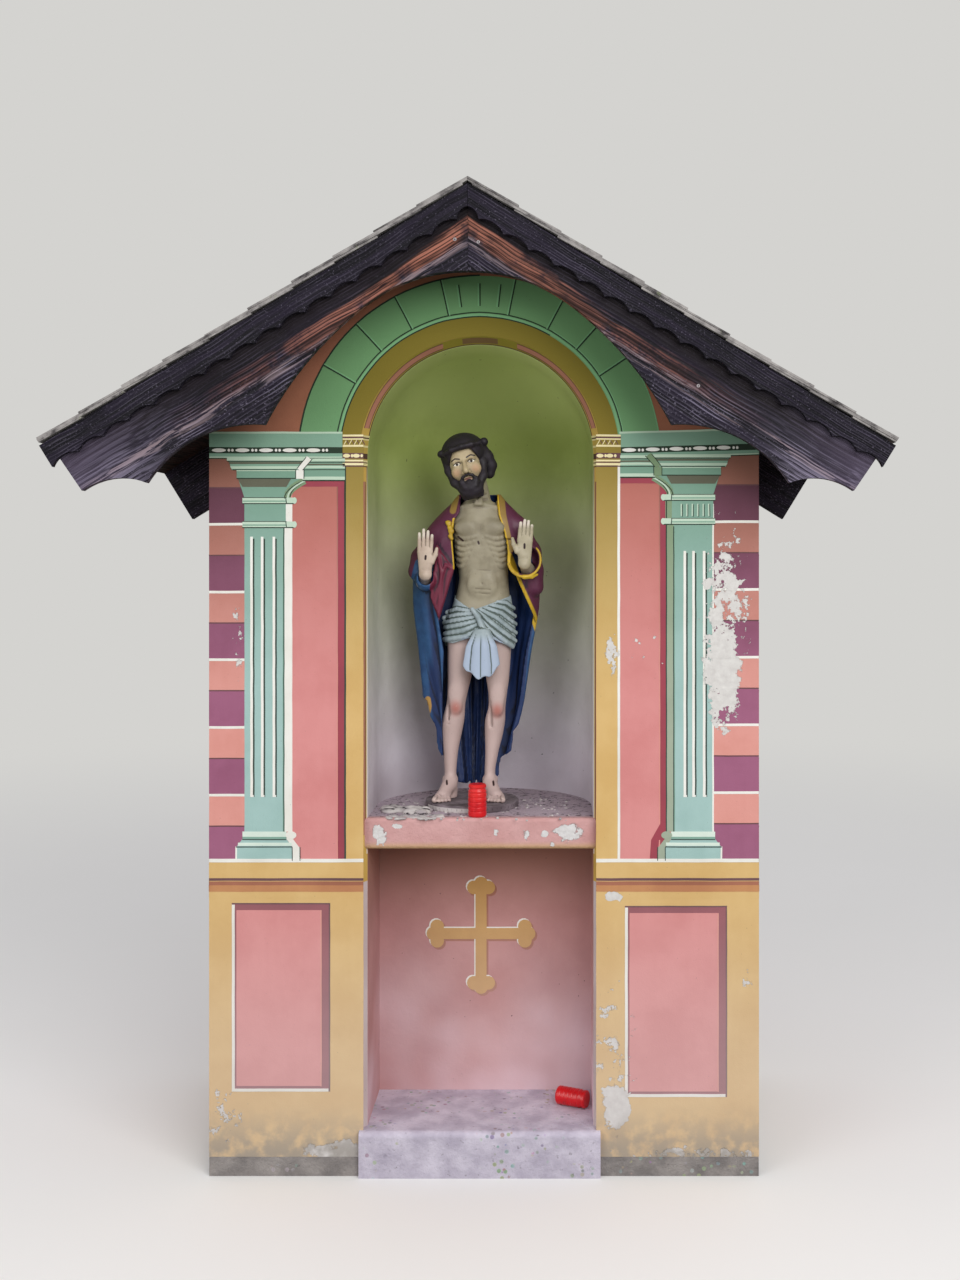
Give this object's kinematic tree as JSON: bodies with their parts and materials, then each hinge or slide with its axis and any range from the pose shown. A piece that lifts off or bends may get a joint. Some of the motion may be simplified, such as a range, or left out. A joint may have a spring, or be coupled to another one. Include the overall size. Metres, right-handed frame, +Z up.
{
  "type": "wayside shrine",
  "caption": "Plastered masonry niche shrine with a half-domed niche, a carved standing figure, a lower recess and a wooden gable roof with sawn bargeboards.",
  "frame": {"origin": "on the ground under the middle of the masonry body", "axes": "+Z up, -Y towards the niche and the viewer, +X to the viewer's right"},
  "size_m": [2.52, 1.24, 3.0362],
  "materials": {
    "masonry": "matte",
    "larch_timber": "matte",
    "split_shingle": "matte",
    "painted_carving": "satin",
    "candle_red": "gloss"
  },
  "bodies": {
    "root": {"footing": "masonry", "threshold_step": "masonry", "niche_floor": "masonry", "recess_back_wall": "masonry", "rear_wall": "masonry", "left_pier_base": "masonry", "right_pier_base": "masonry", "left_pier": "masonry", "right_pier": "masonry", "left_apse_wall": "masonry", "right_apse_wall": "masonry", "left_side_wall": "masonry", "right_side_wall": "masonry", "left_half_dome": "masonry", "right_half_dome": "masonry", "left_arch_wall": "masonry", "right_arch_wall": "masonry", "ridge_purlin": "larch_timber", "left_wall_plate": "larch_timber", "right_wall_plate": "larch_timber", "left_sheathing": "larch_timber", "right_sheathing": "larch_timber", "left_front_bargeboard": "larch_timber", "right_front_bargeboard": "larch_timber", "left_scalloped_trim": "larch_timber", "right_scalloped_trim": "larch_timber", "left_rear_bargeboard": "larch_timber", "right_rear_bargeboard": "larch_timber", "left_shingles": "split_shingle", "right_shingles": "split_shingle", "statue_plinth": "painted_carving", "statue_body": "painted_carving", "statue_head": "painted_carving", "hair_and_beard": "painted_carving", "loincloth": "painted_carving", "cloak": "painted_carving", "left_hand": "painted_carving", "right_hand": "painted_carving", "votive_candle": "candle_red", "fallen_votive_candle": "candle_red"}
  },
  "joints": []
}
